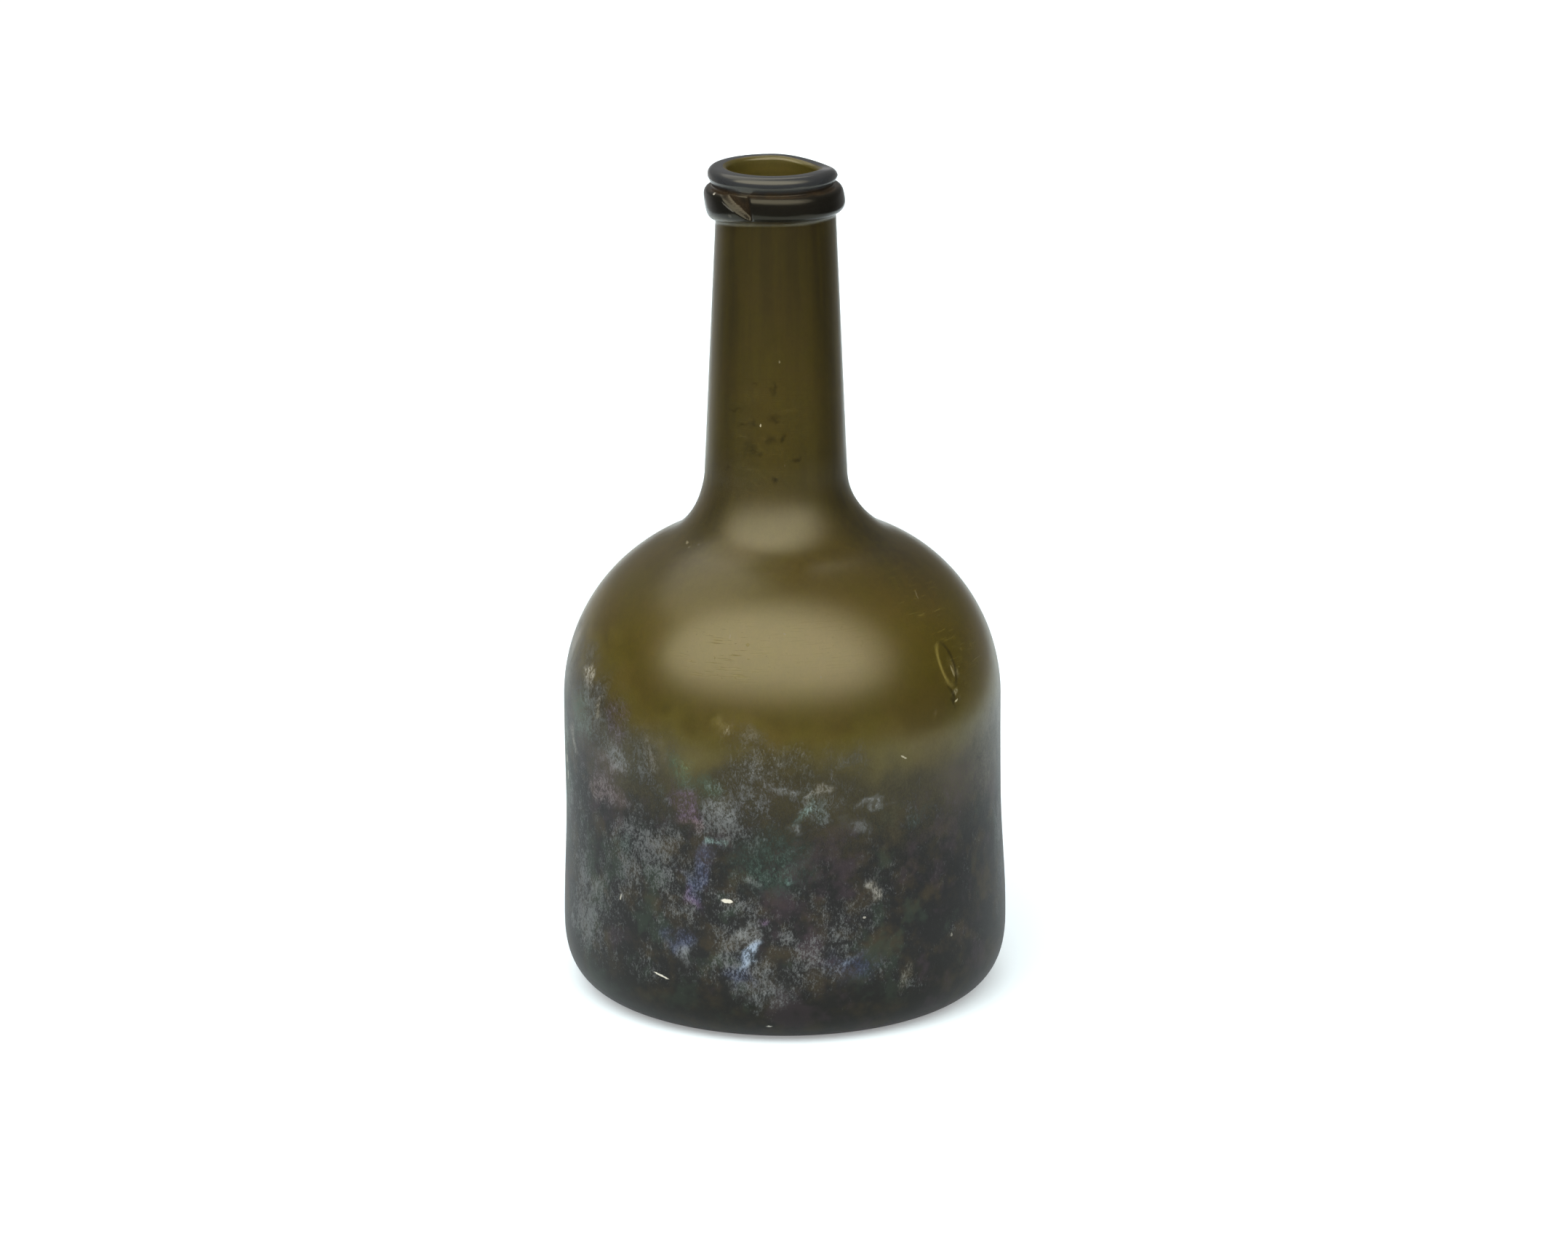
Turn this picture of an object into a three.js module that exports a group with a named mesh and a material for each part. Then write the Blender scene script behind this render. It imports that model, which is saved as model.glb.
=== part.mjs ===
// Glass bottle: a hollow, free-blown wine bottle of mallet form, with a string rim below its lip.
//
// Millimetres, +Z up. The origin is the centre of the base, on the plane that the bottle stands on.
// Azimuths are in degrees from the front, which faces -Y, and grow towards +X, the right-hand side.

import * as THREE from "three";

const { degToRad, euclideanModulo, lerp, smoothstep } = THREE.MathUtils;

// Body and shoulder, outside
const OVERALL_HEIGHT = 210.3;
const BODY_RADIUS = 55;
const SIDE_HEIGHT = 75; // where the side turns into the shoulder
const SHOULDER_WIDTH = 44; // the shoulder is a quarter of an ellipse, this wide
const SHOULDER_RISE = 45; // and this high
const FOOT_SWELL = 1.1; // how far the side swells out above the heel
const FOOT_SWELL_LENGTH = 33; // height over which the swell dies away

// Heel and base
const HEEL_WIDTH = 14;
const HEEL_HEIGHT = 17.3;
const HEEL_POWER = 2.5; // 2 is an ellipse, more is squarer
const REST_RING_WIDTH = 4.5; // the flat ring that the bottle stands on
const KICK_UP_HEIGHT = 26; // the hollow pushed up into the base
const PONTIL_RING_RADIUS = 17; // scar of the rod that held the base
const PONTIL_RING_WIDTH = 5;
const PONTIL_RING_DEPTH = 0.9;

// Neck, outside
const NECK_TOP_RADIUS = 14.8; // just below the string rim
const NECK_TAPER = 0.045; // growth of the neck's radius per millimetre downwards
const NECK_FILLET = 20; // the hollow curve between neck and shoulder
const NECK_SHIFT = -2.3; // the neck stands off the body's axis, to the left
const BODY_SHIFT = -0.7; // and the top of the side leans a little the same way

// Lip
const LIP_HEIGHT = 4.1;
const LIP_FLARE = 1.25; // how far the lip stands out from the neck
const LIP_FLARE_RISE = 1.8; // height over which it flares out
const LIP_ROUND = 1.9; // radius of its outer edge
const MOUTH_ROUND = 1.1; // radius of its inner edge
const LIP_SHIFT = -0.8; // the lip stands off the neck's axis
const LIP_DIP = 1.1; // the top is lower by this at one place
const LIP_DIP_AZIMUTH = 118;
const LIP_DIP_SPREAD = 62;

// String rim, a trail of glass wound once round the neck, with its ends lapped at the front
const RIM_HEIGHT = 6.6;
const RIM_STAND_OUT = 2.6; // beyond the neck
const RIM_GAP = 0.4; // between the trail and the underside of the lip
const RIM_SAG = 2.2; // the trail's lower edge hangs by this at one place
const RIM_SAG_TOP = 0.5; // and its upper edge by this
const RIM_SAG_AZIMUTH = -100;
const RIM_SAG_SPREAD = 95;
const LAP_END_AZIMUTH = -21; // square end of the trail
const LAP_START_TOP_AZIMUTH = -48; // the slanting start of the trail, at its top
const LAP_START_BOTTOM_AZIMUTH = -18; // and at its bottom
const LAP_NOTCH_SHARE = 0.7; // how much of the stand-out is missing between the two ends
const LAP_EDGE_SPREAD = 5; // azimuth over which the notch's edges fall

// Thickness of the glass
const NECK_WALL = 3.6;
const SHOULDER_WALL = 3.5;
const SIDE_WALL = 3.2;
const BASE_WALL = 6.5; // under the hollow of the inside, over the rest ring
const KICK_UP_WALL = 5.5; // at the top of the kick-up
const INNER_HEEL_RISE = 14; // height of the rounded corner inside
const INNER_HEEL_POWER = 2.2;

// Number of steps along each stretch of the section, and round the bottle
const SEGMENTS = 60;
const KICK_UP_STEPS = 7;
const HEEL_STEPS = 7;
const SIDE_STEPS = 4;
const SHOULDER_STEPS = 8;
const FILLET_STEPS = 5;
const NECK_STEPS = 3;
const RIM_STEPS = 7;
const EDGE_STEPS = 3;
const INNER_SHOULDER_STEPS = 6;
const INNER_HEEL_STEPS = 4;
const INNER_KICK_UP_STEPS = 5;

const LIP_UNDERSIDE = OVERALL_HEIGHT - LIP_HEIGHT;
const RIM_TOP = LIP_UNDERSIDE - RIM_GAP;
const RIM_BOTTOM = RIM_TOP - RIM_HEIGHT;
const REST_RING_OUTER = BODY_RADIUS + FOOT_SWELL - HEEL_WIDTH;
const REST_RING_INNER = REST_RING_OUTER - REST_RING_WIDTH;
const REST_RING_MIDDLE = (REST_RING_OUTER + REST_RING_INNER) / 2;

const point = (radius, height) => new THREE.Vector2(radius, height);

// Points of a curve at equal steps of its parameter, from just after 0 up to 1.
function along(steps, curve) {
  return Array.from({ length: steps }, (_, i) => curve((i + 1) / steps));
}

// An azimuth as the same direction between -180 and 180.
function turned(azimuth) {
  return euclideanModulo(azimuth + 180, 360) - 180;
}

// 1 at the centre azimuth, falling smoothly to 0 at the given spread on either side.
function azimuthBump(azimuth, centre, spread) {
  return 1 - smoothstep(Math.abs(turned(azimuth - centre)), 0, spread);
}

// Outer radius of the side.
function sideRadius(height) {
  const faded = smoothstep(height, HEEL_HEIGHT, HEEL_HEIGHT + FOOT_SWELL_LENGTH);
  return BODY_RADIUS + FOOT_SWELL * (1 - faded);
}

// Outer radius of the neck, as if it had no string rim.
function neckRadius(height) {
  return NECK_TOP_RADIUS + NECK_TAPER * Math.max(RIM_BOTTOM - height, 0);
}

// A quarter of a superellipse about a centre, from straight below or above it to straight beside it.
function superQuarter(centre, width, rise, power) {
  return (t) => {
    const angle = (t * Math.PI) / 2;
    return point(
      centre.x + width * Math.sin(angle) ** (2 / power),
      centre.y + rise * Math.cos(angle) ** (2 / power),
    );
  };
}

// The shoulder and the fillet into the neck, from bottom to top. The fillet's circle touches both:
// its centre lies on the shoulder's normal, one fillet radius from the shoulder and from the neck.
function shoulderAndFillet(side, rise, fillet, neck, steps) {
  const centreRadius = BODY_RADIUS - SHOULDER_WIDTH;
  const width = side - centreRadius;
  const shoulder = (t) => point(centreRadius + width * Math.cos(t), SIDE_HEIGHT + rise * Math.sin(t));
  const normal = (t) => point(Math.cos(t) * rise, Math.sin(t) * width).normalize();
  const filletCentre = (t) => shoulder(t).addScaledVector(normal(t), fillet);
  let low = 0;
  let high = Math.PI / 2;
  for (let i = 0; i < 40; i++) {
    const middle = (low + high) / 2;
    const centre = filletCentre(middle);
    if (centre.x - fillet > neck(centre.y)) low = middle;
    else high = middle;
  }
  const centre = filletCentre(low);
  const start = normal(low).negate().angle();
  return [
    ...along(steps, (t) => shoulder(t * low)),
    ...along(FILLET_STEPS, (t) => {
      const angle = lerp(start, Math.PI, t);
      return point(centre.x + fillet * Math.cos(angle), centre.y + fillet * Math.sin(angle));
    }),
  ];
}

// The hollow under the base, from its top to the rest ring, with the pontil's ring in it.
function kickUp() {
  const even = along(KICK_UP_STEPS, (t) => t * REST_RING_INNER);
  const scarRadii = [-1, 0, 1].map((side) => PONTIL_RING_RADIUS + (side * PONTIL_RING_WIDTH) / 2);
  const clear = even.filter((r) => Math.abs(r - PONTIL_RING_RADIUS) > PONTIL_RING_WIDTH * 0.6);
  const radii = [0, ...clear, ...scarRadii].sort((a, b) => a - b);
  return radii.map((radius) => {
    const bell = (1 + Math.cos((Math.PI * radius) / REST_RING_INNER)) / 2;
    const scar = radius === PONTIL_RING_RADIUS ? PONTIL_RING_DEPTH : 0;
    return point(radius, KICK_UP_HEIGHT * bell - scar);
  });
}

// The heights of the string rim's lower and upper edges at an azimuth.
function rimEdges(azimuth) {
  const sag = azimuthBump(azimuth, RIM_SAG_AZIMUTH, RIM_SAG_SPREAD);
  return { bottom: RIM_BOTTOM - RIM_SAG * sag, top: RIM_TOP - RIM_SAG_TOP * sag };
}

// How much of the string rim's stand-out is left at an azimuth and a share of the rim's height.
function lapShare(azimuth, up) {
  const half = LAP_EDGE_SPREAD / 2;
  const start = lerp(LAP_START_BOTTOM_AZIMUTH, LAP_START_TOP_AZIMUTH, up);
  const past = smoothstep(turned(azimuth), start - half, start + half);
  const covered = smoothstep(turned(azimuth), LAP_END_AZIMUTH - half, LAP_END_AZIMUTH + half);
  return 1 - LAP_NOTCH_SHARE * past * (1 - covered);
}

// The string rim's section at an azimuth, from its lower edge to its upper edge.
function stringRim(azimuth) {
  const { bottom, top } = rimEdges(azimuth);
  return along(RIM_STEPS, (t) => {
    const angle = lerp(-Math.PI / 2, Math.PI / 2, t);
    const up = (1 + Math.sin(angle)) / 2;
    const height = lerp(bottom, top, up);
    const stand = RIM_STAND_OUT * Math.max(Math.cos(angle), 0) * lapShare(azimuth, up);
    return point(neckRadius(height) + stand, height);
  });
}

// The lip's section at an azimuth, over the top and into the mouth.
function lip(azimuth) {
  const outer = NECK_TOP_RADIUS + LIP_FLARE;
  const mouth = NECK_TOP_RADIUS - NECK_WALL;
  const top = OVERALL_HEIGHT - LIP_DIP * azimuthBump(azimuth, LIP_DIP_AZIMUTH, LIP_DIP_SPREAD);
  const widest = LIP_UNDERSIDE + LIP_FLARE_RISE;
  const round = Math.min(LIP_ROUND, top - widest);
  const outerEdge = superQuarter(point(outer - round, top - round), round, round, 2);
  const innerCentre = point(mouth + MOUTH_ROUND, top - MOUTH_ROUND);
  const innerEdge = superQuarter(innerCentre, -MOUTH_ROUND, MOUTH_ROUND, 2);
  return [
    point(NECK_TOP_RADIUS + LIP_FLARE / 3, LIP_UNDERSIDE),
    point(outer, widest),
    ...along(EDGE_STEPS, (t) => outerEdge(1 - t)),
    innerEdge(0),
    ...along(EDGE_STEPS, innerEdge),
  ];
}

// The inside, from below the mouth down to the top of the kick-up.
function inside() {
  const bore = (height) => neckRadius(height) - NECK_WALL;
  const side = BODY_RADIUS - SIDE_WALL;
  const rising = shoulderAndFillet(
    side,
    SHOULDER_RISE - SHOULDER_WALL,
    NECK_FILLET + NECK_WALL,
    bore,
    INNER_SHOULDER_STEPS,
  ).reverse();
  const neckFoot = rising[0].y;
  const heelTop = BASE_WALL + INNER_HEEL_RISE;
  const heelRadius = sideRadius(heelTop) - SIDE_WALL;
  const heel = superQuarter(
    point(REST_RING_MIDDLE, heelTop),
    heelRadius - REST_RING_MIDDLE,
    -INNER_HEEL_RISE,
    INNER_HEEL_POWER,
  );
  const floorTop = KICK_UP_HEIGHT + KICK_UP_WALL;
  const swelling = along(SIDE_STEPS - 1, (t) => lerp(SIDE_HEIGHT, heelTop, t));
  return [
    ...along(NECK_STEPS, (t) => lerp(RIM_BOTTOM, neckFoot, t)).slice(0, -1).map((z) => point(bore(z), z)),
    ...rising,
    ...swelling.map((z) => point(sideRadius(z) - SIDE_WALL, z)),
    ...along(INNER_HEEL_STEPS, (t) => heel(1 - t)),
    ...along(INNER_KICK_UP_STEPS, (t) => {
      const bell = (1 - Math.cos(Math.PI * t)) / 2;
      return point(REST_RING_MIDDLE * (1 - t), lerp(BASE_WALL, floorTop, bell));
    }),
  ];
}

// The whole section at an azimuth: a closed outline that starts and ends on the bottle's axis.
function section(azimuth) {
  const heel = superQuarter(point(REST_RING_OUTER, HEEL_HEIGHT), HEEL_WIDTH, -HEEL_HEIGHT, HEEL_POWER);
  const rising = shoulderAndFillet(BODY_RADIUS, SHOULDER_RISE, NECK_FILLET, neckRadius, SHOULDER_STEPS);
  const neckFoot = rising.at(-1).y;
  const rimFoot = rimEdges(azimuth).bottom;
  return [
    ...kickUp(),
    point(REST_RING_OUTER, 0),
    ...along(HEEL_STEPS, heel),
    ...along(SIDE_STEPS, (t) => lerp(HEEL_HEIGHT, SIDE_HEIGHT, t)).map((z) => point(sideRadius(z), z)),
    ...rising,
    ...along(NECK_STEPS, (t) => lerp(neckFoot, rimFoot, t)).map((z) => point(neckRadius(z), z)),
    ...stringRim(azimuth),
    ...lip(azimuth),
    ...inside(),
  ];
}

// How far the bottle's centre line stands from the axis at a height, along X.
function centreLine(height) {
  const shoulderTop = SIDE_HEIGHT + SHOULDER_RISE;
  const reach = NECK_FILLET / 2;
  const body = BODY_SHIFT * smoothstep(height, HEEL_HEIGHT, SIDE_HEIGHT);
  const neck = (NECK_SHIFT - BODY_SHIFT) * smoothstep(height, shoulderTop - reach, shoulderTop + reach);
  return body + neck + LIP_SHIFT * smoothstep(height, RIM_BOTTOM, LIP_UNDERSIDE);
}

// The section turned about the axis, with each point where its own azimuth has it.
function bottleGeometry() {
  const rows = section(0).length;
  const geometry = new THREE.LatheGeometry(section(0), SEGMENTS);
  const position = geometry.getAttribute("position");
  for (let i = 0; i <= SEGMENTS; i++) {
    const azimuth = (360 * (i % SEGMENTS)) / SEGMENTS;
    const angle = degToRad(azimuth);
    section(azimuth).forEach((p, row) => {
      const x = p.x * Math.sin(angle) + centreLine(p.y);
      position.setXYZ(i * rows + row, x, -p.x * Math.cos(angle), p.y);
    });
  }
  geometry.computeVertexNormals();
  return geometry;
}

const oliveGlass = new THREE.MeshStandardMaterial({ color: 0x4f4a22, roughness: 0.35, metalness: 0 });

const bottle = new THREE.Mesh(bottleGeometry(), oliveGlass);
bottle.name = "bottle";

const group = new THREE.Group();
group.add(bottle);

export default group;
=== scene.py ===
import math
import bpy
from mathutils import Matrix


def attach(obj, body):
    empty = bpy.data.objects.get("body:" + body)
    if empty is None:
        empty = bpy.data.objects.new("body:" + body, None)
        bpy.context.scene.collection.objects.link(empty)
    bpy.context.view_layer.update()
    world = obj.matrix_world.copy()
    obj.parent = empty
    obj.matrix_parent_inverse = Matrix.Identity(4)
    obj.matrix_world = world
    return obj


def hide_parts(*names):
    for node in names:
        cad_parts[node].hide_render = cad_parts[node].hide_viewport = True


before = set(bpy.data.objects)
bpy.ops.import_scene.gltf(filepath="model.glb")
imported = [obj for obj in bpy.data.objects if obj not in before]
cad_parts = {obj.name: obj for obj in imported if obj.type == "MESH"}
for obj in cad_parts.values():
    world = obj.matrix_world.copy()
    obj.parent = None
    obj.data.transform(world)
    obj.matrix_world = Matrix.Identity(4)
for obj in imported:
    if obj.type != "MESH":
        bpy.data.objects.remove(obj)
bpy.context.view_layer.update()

from types import SimpleNamespace

import bpy
import numpy as np
from mathutils import Vector, noise

# Glass bottle: the looks of a free-blown mallet wine bottle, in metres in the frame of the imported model.
# Sizes of the form are in millimetres, as in the part's own source, and MM turns them into metres.
# Azimuths are in degrees from the front, which faces -Y, and grow towards +X, the right-hand side.
MM = 0.001

# Form, outside
OVERALL_HEIGHT = 210.3
BODY_RADIUS = 55
SIDE_HEIGHT = 75
SHOULDER_WIDTH = 44
SHOULDER_RISE = 45
FOOT_SWELL = 1.1
FOOT_SWELL_LENGTH = 33
HEEL_WIDTH = 14
HEEL_HEIGHT = 17.3
HEEL_POWER = 2.5
REST_RING_WIDTH = 4.5
KICK_UP_HEIGHT = 26
PONTIL_RING_RADIUS = 17
PONTIL_RING_WIDTH = 5
PONTIL_RING_DEPTH = 0.9
NECK_TOP_RADIUS = 14.8
NECK_TAPER = 0.045
NECK_FILLET = 20
NECK_SHIFT = -2.3
BODY_SHIFT = -0.7

# Lip and string rim
LIP_HEIGHT = 4.1
LIP_FLARE = 1.25
LIP_FLARE_RISE = 1.8
LIP_ROUND = 1.9
MOUTH_ROUND = 1.1
LIP_SHIFT = -0.8
LIP_DIP = 1.1
LIP_DIP_AZIMUTH = 118
LIP_DIP_SPREAD = 62
RIM_HEIGHT = 6.6
RIM_STAND_OUT = 2.6
RIM_GAP = 0.4
RIM_TOP_POWER = 3.2
RIM_BOTTOM_POWER = 2.2
RIM_SAG = 2.2
RIM_SAG_TOP = 0.5
RIM_SAG_AZIMUTH = -100
RIM_SAG_SPREAD = 95
LAP_END_AZIMUTH = -21
LAP_START_TOP_AZIMUTH = -48
LAP_START_BOTTOM_AZIMUTH = -18
LAP_NOTCH_SHARE = 0.7
LAP_EDGE_SPREAD = 5

# Thickness of the glass
NECK_WALL = 3.6
SHOULDER_WALL = 3.5
SIDE_WALL = 3.2
BASE_WALL = 6.5
KICK_UP_WALL = 5.5
INNER_HEEL_RISE = 14
INNER_HEEL_POWER = 2.2

LIP_UNDERSIDE = OVERALL_HEIGHT - LIP_HEIGHT
RIM_TOP = LIP_UNDERSIDE - RIM_GAP
RIM_BOTTOM = RIM_TOP - RIM_HEIGHT
REST_RING_OUTER = BODY_RADIUS + FOOT_SWELL - HEEL_WIDTH
REST_RING_INNER = REST_RING_OUTER - REST_RING_WIDTH
REST_RING_MIDDLE = (REST_RING_OUTER + REST_RING_INNER) / 2

# Steps of the fine mesh along each stretch of the section, and round the bottle
SEGMENTS = 288
KICK_UP_STEPS = 24
HEEL_STEPS = 20
SIDE_STEPS = 60
SHOULDER_STEPS = 44
FILLET_STEPS = 16
NECK_STEPS = 48
RIM_STEPS = 28
FLARE_STEPS = 4
EDGE_STEPS = 8
INNER_SHOULDER_STEPS = 14
INNER_FILLET_STEPS = 6
INNER_SIDE_STEPS = 5
INNER_HEEL_STEPS = 8
INNER_KICK_UP_STEPS = 12
INNER_NECK_STEPS = 8

# Halvings in the search for where the fillet meets the shoulder
HALVINGS = 40

# Below this height the heel turns under the bottle
REST_HEIGHT = 3

# The photograph's camera: it looks a little down at the bottle from the front
CAMERA_ELEVATION = 16.5
CAMERA_DISTANCE = 1465 * MM
LOOK_AT = Vector((-0.29 * MM, 0, 92.1 * MM))
SENSOR_WIDTH = 36
LENS = 133.9

# The studio, in metres. The floor is paper, a hair below the bottle's underside.
FLOOR_HALF_WIDTH = 0.32
FLOOR_FRONT = -0.24
FLOOR_BACK = 2.4
FLOOR_DROP = 0.00005
PAPER = (0.62, 0.73, 0.82)
PAPER_ROUGHNESS = 0.9
PAPER_GLOW = 0.3

# The light of the surroundings: dim in front, brighter behind, overhead and on the left, white to the camera.
# Each band is the range of a component of the direction in which the light goes from one value to the other.
FRONT_LIGHT = 0.06
BACK_LIGHT = 0.62
BACK_BAND = (0.2, 0.9)
OVERHEAD_REACH = 0.4
OVERHEAD_BAND = (0.2, 0.7)
FLOOR_SHARE = 1.0
ROOM_SHARE = 0.45
HORIZON_BAND = (-0.02, 0.12)
LEFT_SHARE = 1.1
RIGHT_SHARE = 0.55
SIDE_BAND = (-0.6, 0.6)
BACKDROP_LIGHT = 1.05
WHITE = (1, 1, 1)
WARM_WHITE = (1, 0.97, 0.88)

# Soft boxes aimed at the bottle, as name, place, size and power in watts
SOFT_BOXES = (
    ("soft_box", (-0.04, -0.63, 0.87), (3.3, 1.35), 26),
    ("core_box", (-0.12, -0.63, 0.87), (2.5, 0.9), 15),
    ("top_box", (-0.35, 0.45, 1.15), (1.7, 0.9), 6),
)
SOFT_BOX_AIM = (0, 0, 0.1)

# The soft box behind the bottle, which looks straight down on the floor
BACK_BOX = ("back_box", (0, 1.6, 1.1), (3.8, 1.4), 27)
BACK_BOX_AIM = (0, 1.6, 0.1)
BACK_BOX_SPREAD = math.radians(75)

# Bounces of light, enough for rays that pass through all the walls of the bottle
BOUNCES = 16


def lerp(a, b, t):
    return a + (b - a) * t


def smoothstep(x, low, high):
    t = min(max((x - low) / (high - low), 0), 1)
    return t * t * (3 - 2 * t)


def turned(azimuth):
    return (azimuth + 180) % 360 - 180


def azimuth_bump(azimuth, centre, spread):
    return 1 - smoothstep(abs(turned(azimuth - centre)), 0, spread)


def along(steps, curve):
    return [curve((i + 1) / steps) for i in range(steps)]


def side_radius(height):
    return BODY_RADIUS + FOOT_SWELL * (1 - smoothstep(height, HEEL_HEIGHT, HEEL_HEIGHT + FOOT_SWELL_LENGTH))


def neck_radius(height):
    return NECK_TOP_RADIUS + NECK_TAPER * max(RIM_BOTTOM - height, 0)


def super_quarter(centre, width, rise, power):
    """A quarter of a superellipse, from straight above or below its centre to straight beside it."""

    def curve(t):
        angle = t * math.pi / 2
        return (
            centre[0] + width * math.sin(angle) ** (2 / power),
            centre[1] + rise * max(math.cos(angle), 0) ** (2 / power),
        )

    return curve


def shoulder_and_fillet(side, rise, fillet, neck, steps, fillet_steps):
    """The shoulder and the fillet into the neck, from bottom to top."""
    centre_radius = BODY_RADIUS - SHOULDER_WIDTH
    width = side - centre_radius

    def shoulder(t):
        return centre_radius + width * math.cos(t), SIDE_HEIGHT + rise * math.sin(t)

    def normal(t):
        return Vector((math.cos(t) * rise, math.sin(t) * width)).normalized()

    def fillet_centre(t):
        return Vector(shoulder(t)) + normal(t) * fillet

    low, high = 0, math.pi / 2
    for _ in range(HALVINGS):
        middle = (low + high) / 2
        centre = fillet_centre(middle)
        if centre.x - fillet > neck(centre.y):
            low = middle
        else:
            high = middle
    centre = fillet_centre(low)
    foot = normal(low)
    start = math.atan2(-foot.y, -foot.x) + 2 * math.pi

    def turn(t):
        angle = lerp(start, math.pi, t)
        return centre.x + fillet * math.cos(angle), centre.y + fillet * math.sin(angle)

    return along(steps, lambda t: shoulder(t * low)) + along(fillet_steps, turn)


def kick_up():
    """The hollow under the base, from its top to the rest ring, with the pontil's ring in it."""

    def at(t):
        radius = t * REST_RING_INNER
        away = abs(radius - PONTIL_RING_RADIUS) / (PONTIL_RING_WIDTH / 2)
        scar = PONTIL_RING_DEPTH * (1 - smoothstep(away, 0, 1))
        return radius, KICK_UP_HEIGHT * (1 + math.cos(math.pi * t)) / 2 - scar

    return [at(0)] + along(KICK_UP_STEPS, at)


def rim_edges(azimuth):
    sag = azimuth_bump(azimuth, RIM_SAG_AZIMUTH, RIM_SAG_SPREAD)
    return RIM_BOTTOM - RIM_SAG * sag, RIM_TOP - RIM_SAG_TOP * sag


def lap_share(azimuth, up):
    """How much of the string rim's stand-out is left at an azimuth and a share of the rim's height."""
    half = LAP_EDGE_SPREAD / 2
    start = lerp(LAP_START_BOTTOM_AZIMUTH, LAP_START_TOP_AZIMUTH, up)
    past = smoothstep(turned(azimuth), start - half, start + half)
    covered = smoothstep(turned(azimuth), LAP_END_AZIMUTH - half, LAP_END_AZIMUTH + half)
    return 1 - LAP_NOTCH_SHARE * past * (1 - covered)


def string_rim(azimuth):
    """The string rim's section at an azimuth, from its lower edge to its upper edge."""
    bottom, top = rim_edges(azimuth)

    def at(t):
        angle = lerp(-math.pi / 2, math.pi / 2, t)
        power = RIM_TOP_POWER if angle > 0 else RIM_BOTTOM_POWER
        rise = math.copysign(abs(math.sin(angle)) ** (2 / power), angle)
        up = (1 + rise) / 2
        height = lerp(bottom, top, up)
        stand = RIM_STAND_OUT * max(math.cos(angle), 0) ** (2 / power) * lap_share(azimuth, up)
        return neck_radius(height) + stand, height

    return along(RIM_STEPS, at)


def lip(azimuth):
    """The lip's section at an azimuth, over the top and into the mouth."""
    outer = NECK_TOP_RADIUS + LIP_FLARE
    mouth = NECK_TOP_RADIUS - NECK_WALL
    top = OVERALL_HEIGHT - LIP_DIP * azimuth_bump(azimuth, LIP_DIP_AZIMUTH, LIP_DIP_SPREAD)
    root = NECK_TOP_RADIUS + LIP_FLARE / 3
    widest = LIP_UNDERSIDE + LIP_FLARE_RISE
    outer_edge = super_quarter((outer - LIP_ROUND, top - LIP_ROUND), LIP_ROUND, LIP_ROUND, 2)
    inner_edge = super_quarter((mouth + MOUTH_ROUND, top - MOUTH_ROUND), -MOUTH_ROUND, MOUTH_ROUND, 2)
    flare = along(FLARE_STEPS, lambda t: (lerp(root, outer, t), lerp(LIP_UNDERSIDE, widest, t)))
    return (
        [(root, LIP_UNDERSIDE)]
        + flare
        + along(EDGE_STEPS, lambda t: outer_edge(1 - t))
        + [inner_edge(0)]
        + along(EDGE_STEPS, inner_edge)
    )


def inside():
    """The inside, from below the mouth down to the top of the kick-up."""

    def bore(height):
        return neck_radius(height) - NECK_WALL

    rising = shoulder_and_fillet(
        BODY_RADIUS - SIDE_WALL,
        SHOULDER_RISE - SHOULDER_WALL,
        NECK_FILLET + NECK_WALL,
        bore,
        INNER_SHOULDER_STEPS,
        INNER_FILLET_STEPS,
    )[::-1]
    neck_foot = rising[0][1]
    heel_top = BASE_WALL + INNER_HEEL_RISE
    heel = super_quarter(
        (REST_RING_MIDDLE, heel_top),
        side_radius(heel_top) - SIDE_WALL - REST_RING_MIDDLE,
        -INNER_HEEL_RISE,
        INNER_HEEL_POWER,
    )
    floor_top = KICK_UP_HEIGHT + KICK_UP_WALL

    def floor(t):
        return REST_RING_MIDDLE * (1 - t), lerp(BASE_WALL, floor_top, (1 - math.cos(math.pi * t)) / 2)

    neck_heights = along(INNER_NECK_STEPS, lambda t: lerp(RIM_BOTTOM, neck_foot, t))[:-1]
    side_heights = along(INNER_SIDE_STEPS, lambda t: lerp(SIDE_HEIGHT, heel_top, t))
    return (
        [(bore(z), z) for z in neck_heights]
        + rising
        + [(side_radius(z) - SIDE_WALL, z) for z in side_heights]
        + along(INNER_HEEL_STEPS, lambda t: heel(1 - t))
        + along(INNER_KICK_UP_STEPS, floor)
    )


def outside(azimuth):
    """The outside at an azimuth, from the top of the kick-up to the string rim's upper edge."""
    heel = super_quarter((REST_RING_OUTER, HEEL_HEIGHT), HEEL_WIDTH, -HEEL_HEIGHT, HEEL_POWER)
    rising = shoulder_and_fillet(
        BODY_RADIUS, SHOULDER_RISE, NECK_FILLET, neck_radius, SHOULDER_STEPS, FILLET_STEPS
    )
    neck_foot = rising[-1][1]
    rim_foot = rim_edges(azimuth)[0]
    side_heights = along(SIDE_STEPS, lambda t: lerp(HEEL_HEIGHT, SIDE_HEIGHT, t))
    neck_heights = along(NECK_STEPS, lambda t: lerp(neck_foot, rim_foot, t))
    return (
        kick_up()
        + [(REST_RING_OUTER, 0)]
        + along(HEEL_STEPS, heel)
        + [(side_radius(z), z) for z in side_heights]
        + rising
        + [(neck_radius(z), z) for z in neck_heights]
        + string_rim(azimuth)
    )


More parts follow.
